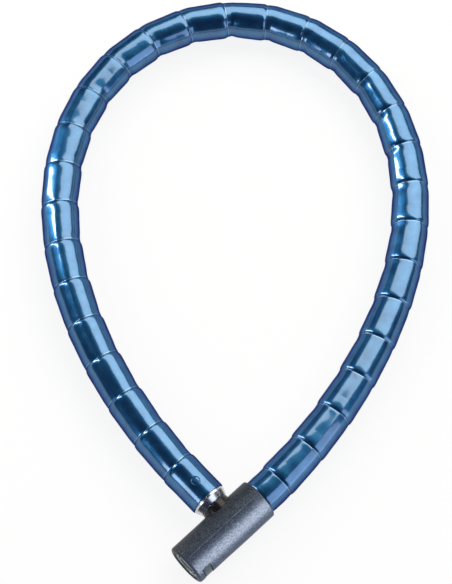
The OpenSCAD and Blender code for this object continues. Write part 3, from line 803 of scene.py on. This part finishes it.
in_edit(cover, on_top_line,
        lambda: bpy.ops.mesh.bevel(offset=LINE_HALF * MM, segments=2, affect="EDGES"))
in_edit(cover, on_top_line,
        lambda: bpy.ops.transform.translate(value=(0, 0, -LINE_DEPTH * MM)))
cut(cover, cutter("port_cut", "cylinder", vertices=96, radius=PORT_R * MM, depth=14 * MM,
                  location=(0, 9 * MM, 0), rotation=(math.pi / 2, 0, 0)))
cut(cover, cutter("window_cut", "cube", size=1, location=(WINDOW_X * MM, WINDOW_Y * MM, 0),
                  scale=((CATCH_LEN + 2 * PLAY_X) * MM, 7 * MM, 2 * WINDOW_HALF * MM)))
tidy(cover, 28)
put(cover)
cover.data.materials.append(cover_black)
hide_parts("head_cover")
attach(cover, "lock_head")
print("cover faces:", len(cover.data.polygons))

# %% [markdown]
# The catch is a small curved lug that snaps into the window. It is the part of a ring that
# lies inside the window's block, with softened edges.

# %% The catch
catch = lathe("catch_lug", [(-30.2, 10.66), (-30.2, 11.78), (-25.3, 11.78), (-25.3, 10.66)])
cut(catch, cutter("catch_keep", "cube", size=1, location=(WINDOW_X * MM, WINDOW_Y * MM, 0),
                  scale=(CATCH_LEN * MM, 8 * MM, 2 * (WINDOW_HALF - PLAY_Z) * MM)), "INTERSECT")
modify(catch, "BEVEL", width=0.22 * MM, segments=3, limit_method="ANGLE",
       angle_limit=math.radians(50))
tidy(catch, 40)
put(catch)
catch.data.materials.append(catch_grey)
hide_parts("cover_catch")
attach(catch, "lock_head")
print("catch faces:", len(catch.data.polygons))

# %% [markdown]
# At the key end a steel ring with a raised bead closes the cover, and the front of the plug
# stands inside it with its keyway. The plug's front is a piece of its own, which turns with it.

# %% Key face
ring = lathe("face_ring", [(-31.65, 6.9), (-33.4, 6.9), (-33.6, 7.1), (-33.6, 7.6), (-33.4, 7.8),
                           (-32.7, 7.9), (-32.7, 8.6), (-33.5, 8.7), (-33.65, 8.85),
                           (-33.5, 9.25), (-32.38, 9.28), (-32.35, 10.55), (-31.65, 10.55)])
front = lathe("plug_front", [(-32.15, 0.0), (-33.7, 0.0), (-33.7, 5.0), (-33.5, 5.5), (-33.2, 5.85),
                             (-32.15, 5.9)], closed=False)
KEYWAY_LONG, KEYWAY_WIDE = 9.4, 3.0
cut(front, cutter("keyway_cut", "cube", size=1, location=(-33 * MM, 0, 0),
                  scale=(4 * MM, KEYWAY_LONG * MM, KEYWAY_WIDE * MM)))
for obj, body, slot, finish in ((ring, "lock_head", "face_steel", face_steel),
                                (front, "plug", "plug_steel", plug_dark)):
    tidy(obj, 25)
    put(obj)
    obj.data.materials.append(finish)
    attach(obj, body)
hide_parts("key_face_ring")
print("key face faces:", len(ring.data.polygons), len(front.data.polygons))

# %% [markdown]
# Behind the plug a coil spring pushes the latch forward. One end sits on the latch and the other on
# the barrel; the spring keeps its place in its mesh.

# %% The latch's spring
COIL_R, WIRE_R, TURNS, COIL_FROM, COIL_TO = 3.62, 0.25, 3, -10.03, -5.88
bpy.ops.object.select_all(action="DESELECT")
bpy.ops.mesh.primitive_circle_add(
    vertices=WIRE_SIDES, radius=WIRE_R * MM, fill_type="NOTHING",
    rotation=(math.pi / 2, 0, 0), location=((COIL_FROM + WIRE_R) * MM, 0, COIL_R * MM))
coil = put(named("latch_coil"), Matrix.Identity(4))
modify(coil, "SCREW", axis="X", angle=math.tau, iterations=TURNS, steps=24, render_steps=24,
       screw_offset=(COIL_TO - COIL_FROM - 2 * WIRE_R) / TURNS * MM)
in_edit(coil, lambda v: True, bpy.ops.mesh.fill_holes)
tidy(coil, 60)
put(coil)
coil.data.materials.append(spring_wire)
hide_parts("latch_spring")
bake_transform(coil)
print("coil vertices:", len(coil.data.vertices))

# %% [markdown]
# The port's ring is turned around the bolt's axis. It stands a little out of the cover, with
# a rounded outer edge and a dished front.

# %% Port ring
port = lathe("port_bezel", [(8.25, 4.85), (8.25, 8.5), (12.7, 8.5), (13.2, 8.4)]
             + fillet(13.4, 8.0, 0.35, 90, 0, 4)
             + [(13.75, 6.55)] + fillet(13.55, 6.55, 0.2, 0, -90, 3) + [(12.1, 6.35), (12.0, 4.85)],
             axis="Y")
put(port)
port.data.materials.append(gloss_black)
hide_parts("port_ring")
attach(port, "lock_head")
print("port ring faces:", len(port.data.polygons))

# %% [markdown]
# The chrome ferrule of the free end sits on the same axis. It narrows towards the port in a
# broad chamfer with crisp, slightly broken edges, which is what makes chrome sparkle.

# %% Ferrule
ferrule = lathe("ferrule", [(22.05, 6.0), (14.25, 6.0), (14.17, 6.3), (14.15, 8.5)]
                + fillet(14.4, 8.6, 0.25, 180, 114, 4)
                + [(17.2, 10.1)] + fillet(17.45, 9.98, 0.27, 114, 90, 3)
                + [(18.3, 10.25)] + fillet(18.35, 10.1, 0.15, 90, 0, 3)
                + [(18.5, 8.5), (22.05, 8.5)],
                axis="Y")
put(ferrule)
ferrule.data.materials.append(chrome)
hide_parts("end_ferrule")
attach(ferrule, "free_end")
print("ferrule faces:", len(ferrule.data.polygons))

# %% [markdown]
# All other solids keep their CAD shape. Each gets the finish it has on a real lock: drawn
# steel for the shells, brass for the key cylinder, zinc for the barrel.

# %% Finishes for the remaining solids
FINISHES = [
    (steel, ["shell_%02d" % k for k in range(1, JOINTS)] + [
        "entry_nose", "end_tube", "rope_lock_pin", "housing_pin", "end_cross_pin", "latch_slider",
        "plug_clip"]),
    (zinc, ["lock_barrel", "plug_cam", "dust_shutter"]),
    (face_steel, ["key_plug"]),
    (brass, ["cylinder_housing", "rope_socket", "end_rope_crimp", "wafer_1", "wafer_2", "wafer_3",
             "wafer_4"]),
    (spring_wire, ["wafer_springs", "shutter_spring"]),
    (chrome, ["locking_bolt"]),
    (rubber_black, ["bolt_seal_ring"]),
]
for finish, nodes in FINISHES:
    for node in nodes:
        solid = frame["nodes"][node]
        solid.data.materials.clear()
        solid.data.materials.append(finish)
print("finished solids:", sum(len(nodes) for _, nodes in FINISHES))

# %% [markdown]
# The light comes mostly from a broad soft box behind the loop, which gives the sleeve its pale
# satin band. A narrow strip on the left draws the crisp white line along the upright runs, a
# box low on the right lifts that side, and a small one shines into the key end. The last one
# lays a violet sheen on the head's cover, and is linked to that piece alone.

# %% Lights
LAMPS = [
    # name, direction, distance, size, glow and colour
    ("back_box", (0.36, 0.57, 0.74), 1.5, (2.3, 1.3), 3.4, (1, 0.98, 0.86)),
    ("left_strip", (-0.8, 0.37, 0.47), 1.3, (0.14, 1.1), 19.0, (1, 1, 1)),
    ("right_box", (0.75, -0.495, 0.437), 1.27, (0.7, 1.1), 2.0, (0.84, 0.9, 1)),
    ("key_box", (-0.62, -0.62, 0.48), 1.2, (0.4, 0.4), 5.0, (1, 1, 1)),
    ("head_sheen", (0.77, -0.5, 0.38), 1.25, (1.0, 1.4), 23.0, (0.72, 0.81, 1)),
]


def soft_box(name, direction, distance, size, level, colour):
    """A rectangle of light at this distance from the middle, aimed at it."""
    lamp = bpy.data.lights.new(name, "AREA")
    lamp.shape = "RECTANGLE"
    lamp.size, lamp.size_y = size
    # these watts make a one-sided rectangle of this size glow at this level
    lamp.energy = level * size[0] * size[1] * math.pi
    lamp.color = colour
    obj = bpy.data.objects.new(name, lamp)
    bpy.context.scene.collection.objects.link(obj)
    place = Vector(direction).normalized() * distance
    obj.location = place
    obj.rotation_euler = (-place).to_track_quat("-Z", "Y").to_euler()
    return obj


lamps = {name: soft_box(name, *settings) for name, *settings in LAMPS}
head_only = bpy.data.collections.new("head_pieces")
head_only.objects.link(cover)
lamps["head_sheen"].light_linking.receiver_collection = head_only
print("lights:", sorted(lamps))

# %% [markdown]
# The floor is white paper. Seen directly or in a reflection, most of its brightness is a glow
# of its own, which keeps the ground near white and the shadows faint. For the light that it
# scatters onto the lock it is plain matt paper.

# %% Floor
OWN_GLOW = 0.87
bpy.ops.object.select_all(action="DESELECT")
bpy.ops.mesh.primitive_plane_add(size=8, location=(0, 0, 0))
floor = named("floor")
paper, tree, shader = material("white_paper")
shader.inputs["Base Color"].default_value = (0.88, 0.88, 0.88, 1)
shader.inputs["Roughness"].default_value = 0.9
shader.inputs["Specular IOR Level"].default_value = 0.0
seen = add(tree, "ShaderNodeLightPath").outputs
direct = math_node(tree, "MAXIMUM", seen["Is Camera Ray"], seen["Is Glossy Ray"])
direct = math_node(tree, "MAXIMUM", direct, seen["Is Transmission Ray"])
glow = add(tree, "ShaderNodeEmission", {"Color": (1, 1, 1, 1), "Strength": 1.0})
both = add(tree, "ShaderNodeMixShader", {0: math_node(tree, "MULTIPLY", direct, OWN_GLOW)})
tree.links.new(shader.outputs[0], both.inputs[1])
tree.links.new(glow.outputs[0], both.inputs[2])
tree.links.new(both.outputs[0], tree.nodes["Material Output"].inputs["Surface"])
floor.data.materials.append(paper)
print("floor:", round(floor.dimensions.x), "m across")

# %% [markdown]
# The room is bright up to a little above the horizon and dark blue overhead, so that metal
# and glossy plastic have both something light and something dark to mirror.

# %% Room
world = bpy.data.worlds.new("studio")
bpy.context.scene.world = world
world.use_nodes = True
tree = world.node_tree
height = add(tree, "ShaderNodeSeparateXYZ",
             {0: add(tree, "ShaderNodeTexCoord").outputs["Generated"]}).outputs[2]
room = tree.nodes["Background"]
tree.links.new(ramp(tree, height, (0.13, (1.0, 1.0, 1.0)), (0.2, (0.022, 0.03, 0.075))),
               room.inputs["Color"])
room.inputs["Strength"].default_value = 1.0
bpy.context.scene.view_settings.view_transform = "Standard"
print("room made of", len(tree.nodes), "nodes")
